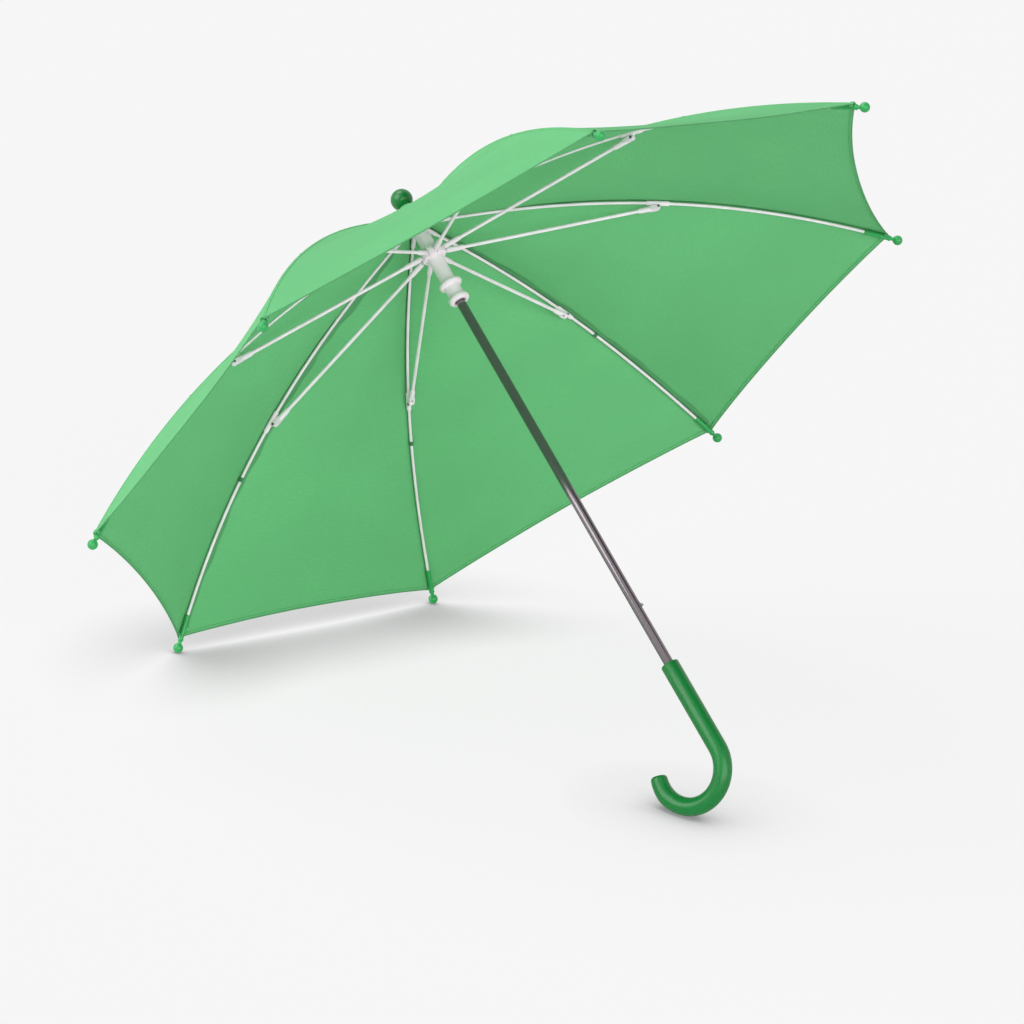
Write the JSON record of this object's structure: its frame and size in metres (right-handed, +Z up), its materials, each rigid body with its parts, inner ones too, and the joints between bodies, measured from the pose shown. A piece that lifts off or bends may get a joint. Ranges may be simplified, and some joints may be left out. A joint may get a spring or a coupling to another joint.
{
  "type": "umbrella",
  "caption": "Children's stick umbrella lying open: domed fabric canopy on hinged ribs and stretchers, sliding runner, steel shaft and hooked handle.",
  "frame": {"origin": "centre of the bounding box's bottom face, on the floor that the open umbrella lies on", "axes": "+Z up; the shaft lies in the XZ plane and leans, ferrule towards -X; +Y across the umbrella"},
  "size_m": [0.5132, 0.7012, 0.5523],
  "materials": {
    "canopy_fabric": "plain weave, soft sheen",
    "green_plastic": "gloss",
    "white_plastic": "satin",
    "white_rods": "satin",
    "shaft_steel": "polished",
    "dark_steel": "dark"
  },
  "bodies": {
    "shaft": {"shaft_tube": "shaft_steel", "handle": "green_plastic", "crown": "white_plastic", "crown_wire": "dark_steel", "ferrule_cap": "green_plastic", "top_rosette": "canopy_fabric"},
    "runner": {"runner": "white_plastic", "runner_wire": "dark_steel"},
    "upper_catch": {"upper_catch": "dark_steel"},
    "lower_catch": {"lower_catch": "dark_steel"},
    "rib_1": {"rib_1": "white_rods", "rib_joint_1": "white_plastic", "joint_pin_1": "dark_steel", "tip_1": "green_plastic", "canopy_panel_1": "canopy_fabric"},
    "stretcher_1": {"stretcher_1": "white_rods"},
    "rib_2": {"rib_2": "white_rods", "rib_joint_2": "white_plastic", "joint_pin_2": "dark_steel", "tip_2": "green_plastic", "canopy_panel_2": "canopy_fabric"},
    "stretcher_2": {"stretcher_2": "white_rods"},
    "rib_3": {"rib_3": "white_rods", "rib_joint_3": "white_plastic", "joint_pin_3": "dark_steel", "tip_3": "green_plastic", "canopy_panel_3": "canopy_fabric"},
    "stretcher_3": {"stretcher_3": "white_rods"},
    "rib_4": {"rib_4": "white_rods", "rib_joint_4": "white_plastic", "joint_pin_4": "dark_steel", "tip_4": "green_plastic", "canopy_panel_4": "canopy_fabric"},
    "stretcher_4": {"stretcher_4": "white_rods"},
    "rib_5": {"rib_5": "white_rods", "rib_joint_5": "white_plastic", "joint_pin_5": "dark_steel", "tip_5": "green_plastic", "canopy_panel_5": "canopy_fabric", "closing_strap": "canopy_fabric"},
    "stretcher_5": {"stretcher_5": "white_rods"},
    "rib_6": {"rib_6": "white_rods", "rib_joint_6": "white_plastic", "joint_pin_6": "dark_steel", "tip_6": "green_plastic", "canopy_panel_6": "canopy_fabric"},
    "stretcher_6": {"stretcher_6": "white_rods"},
    "rib_7": {"rib_7": "white_rods", "rib_joint_7": "white_plastic", "joint_pin_7": "dark_steel", "tip_7": "green_plastic", "canopy_panel_7": "canopy_fabric"},
    "stretcher_7": {"stretcher_7": "white_rods"},
    "rib_8": {"rib_8": "white_rods", "rib_joint_8": "white_plastic", "joint_pin_8": "dark_steel", "tip_8": "green_plastic", "canopy_panel_8": "canopy_fabric"},
    "stretcher_8": {"stretcher_8": "white_rods"}
  },
  "joints": [
    {"name": "fold", "type": "hinge", "parent": "shaft", "child": "rib_1", "pos_m": [-0.16895, -0.00693, 0.37611], "axis": [0.5719, -0.3827, 0.7256], "range_deg": [0, 64.41], "deforming": ["canopy_panel_1", "canopy_panel_2", "canopy_panel_3", "canopy_panel_4", "canopy_panel_5", "canopy_panel_6", "canopy_panel_7", "canopy_panel_8", "closing_strap", "stretcher_1", "stretcher_2", "stretcher_3", "stretcher_4", "stretcher_5", "stretcher_6", "stretcher_7", "stretcher_8", "upper_catch", "lower_catch"]},
    {"name": "rib_2_swing", "type": "hinge", "parent": "shaft", "child": "rib_2", "pos_m": [-0.17147, -0.00287, 0.37292], "axis": [0.2369, -0.9239, 0.3005], "range_deg": [0, 64.41]},
    {"name": "rib_3_swing", "type": "hinge", "parent": "shaft", "child": "rib_3", "pos_m": [-0.17147, 0.00287, 0.37292], "axis": [-0.2369, -0.9239, -0.3005], "range_deg": [0, 64.41]},
    {"name": "rib_4_swing", "type": "hinge", "parent": "shaft", "child": "rib_4", "pos_m": [-0.16895, 0.00693, 0.37611], "axis": [-0.5719, -0.3827, -0.7256], "range_deg": [0, 64.41]},
    {"name": "rib_5_swing", "type": "hinge", "parent": "shaft", "child": "rib_5", "pos_m": [-0.1654, 0.00693, 0.38062], "axis": [-0.5719, 0.3827, -0.7256], "range_deg": [0, 64.41]},
    {"name": "rib_6_swing", "type": "hinge", "parent": "shaft", "child": "rib_6", "pos_m": [-0.16289, 0.00287, 0.38381], "axis": [-0.2369, 0.9239, -0.3005], "range_deg": [0, 64.41]},
    {"name": "rib_7_swing", "type": "hinge", "parent": "shaft", "child": "rib_7", "pos_m": [-0.16289, -0.00287, 0.38381], "axis": [0.2369, 0.9239, 0.3005], "range_deg": [0, 64.41]},
    {"name": "rib_8_swing", "type": "hinge", "parent": "shaft", "child": "rib_8", "pos_m": [-0.1654, -0.00693, 0.38062], "axis": [0.5719, 0.3827, 0.7256], "range_deg": [0, 64.41]},
    {"name": "stretcher_1_swing", "type": "hinge", "parent": "rib_1", "child": "stretcher_1", "pos_m": [-0.16708, -0.18339, 0.28157], "axis": [0.5719, -0.3827, 0.7256], "range_deg": [-155.33, 0]},
    {"name": "stretcher_2_swing", "type": "hinge", "parent": "rib_2", "child": "stretcher_2", "pos_m": [-0.23358, -0.07596, 0.1972], "axis": [0.2369, -0.9239, 0.3005], "range_deg": [-155.33, 0]},
    {"name": "stretcher_3_swing", "type": "hinge", "parent": "rib_3", "child": "stretcher_3", "pos_m": [-0.23358, 0.07596, 0.1972], "axis": [-0.2369, -0.9239, -0.3005], "range_deg": [-155.33, 0]},
    {"name": "stretcher_4_swing", "type": "hinge", "parent": "rib_4", "child": "stretcher_4", "pos_m": [-0.16708, 0.18339, 0.28157], "axis": [-0.5719, -0.3827, -0.7256], "range_deg": [-155.33, 0]},
    {"name": "stretcher_5_swing", "type": "hinge", "parent": "rib_5", "child": "stretcher_5", "pos_m": [-0.07303, 0.18339, 0.40088], "axis": [-0.5719, 0.3827, -0.7256], "range_deg": [-155.33, 0]},
    {"name": "stretcher_6_swing", "type": "hinge", "parent": "rib_6", "child": "stretcher_6", "pos_m": [-0.00653, 0.07596, 0.48525], "axis": [-0.2369, 0.9239, -0.3005], "range_deg": [-155.33, 0]},
    {"name": "stretcher_7_swing", "type": "hinge", "parent": "rib_7", "child": "stretcher_7", "pos_m": [-0.00653, -0.07596, 0.48525], "axis": [0.2369, 0.9239, 0.3005], "range_deg": [-155.33, 0]},
    {"name": "stretcher_8_swing", "type": "hinge", "parent": "rib_8", "child": "stretcher_8", "pos_m": [-0.07303, -0.18339, 0.40088], "axis": [0.5719, 0.3827, 0.7256], "range_deg": [-155.33, 0]},
    {"name": "runner_slide", "type": "slide", "parent": "shaft", "child": "runner", "axis": [0.7853, 0, -0.6191], "range_m": [0, 0.35825]},
    {"name": "upper_catch_press", "type": "hinge", "parent": "shaft", "child": "upper_catch", "pos_m": [-0.13378, 0.00082, 0.35386], "axis": [-0.3095, 0.866, -0.3927], "range_deg": [-5.5, 0], "stiffness_Nm_per_rad": 0.3},
    {"name": "lower_catch_press", "type": "hinge", "parent": "shaft", "child": "lower_catch", "pos_m": [0.11929, 0.00082, 0.15438], "axis": [-0.3095, 0.866, -0.3927], "range_deg": [0, 5.5], "stiffness_Nm_per_rad": 0.3}
  ],
  "couplings": [
    {"joint": "rib_2_swing", "follows": "fold", "ratio": 1},
    {"joint": "rib_3_swing", "follows": "fold", "ratio": 1},
    {"joint": "rib_4_swing", "follows": "fold", "ratio": 1},
    {"joint": "rib_5_swing", "follows": "fold", "ratio": 1},
    {"joint": "rib_6_swing", "follows": "fold", "ratio": 1},
    {"joint": "rib_7_swing", "follows": "fold", "ratio": 1},
    {"joint": "rib_8_swing", "follows": "fold", "ratio": 1},
    {"joint": "stretcher_1_swing", "follows": "fold", "ratio": -2.4114},
    {"joint": "stretcher_2_swing", "follows": "fold", "ratio": -2.4114},
    {"joint": "stretcher_3_swing", "follows": "fold", "ratio": -2.4114},
    {"joint": "stretcher_4_swing", "follows": "fold", "ratio": -2.4114},
    {"joint": "stretcher_5_swing", "follows": "fold", "ratio": -2.4114},
    {"joint": "stretcher_6_swing", "follows": "fold", "ratio": -2.4114},
    {"joint": "stretcher_7_swing", "follows": "fold", "ratio": -2.4114},
    {"joint": "stretcher_8_swing", "follows": "fold", "ratio": -2.4114},
    {"joint": "runner_slide", "follows": "fold", "m_per_rad": 0.31866}
  ]
}
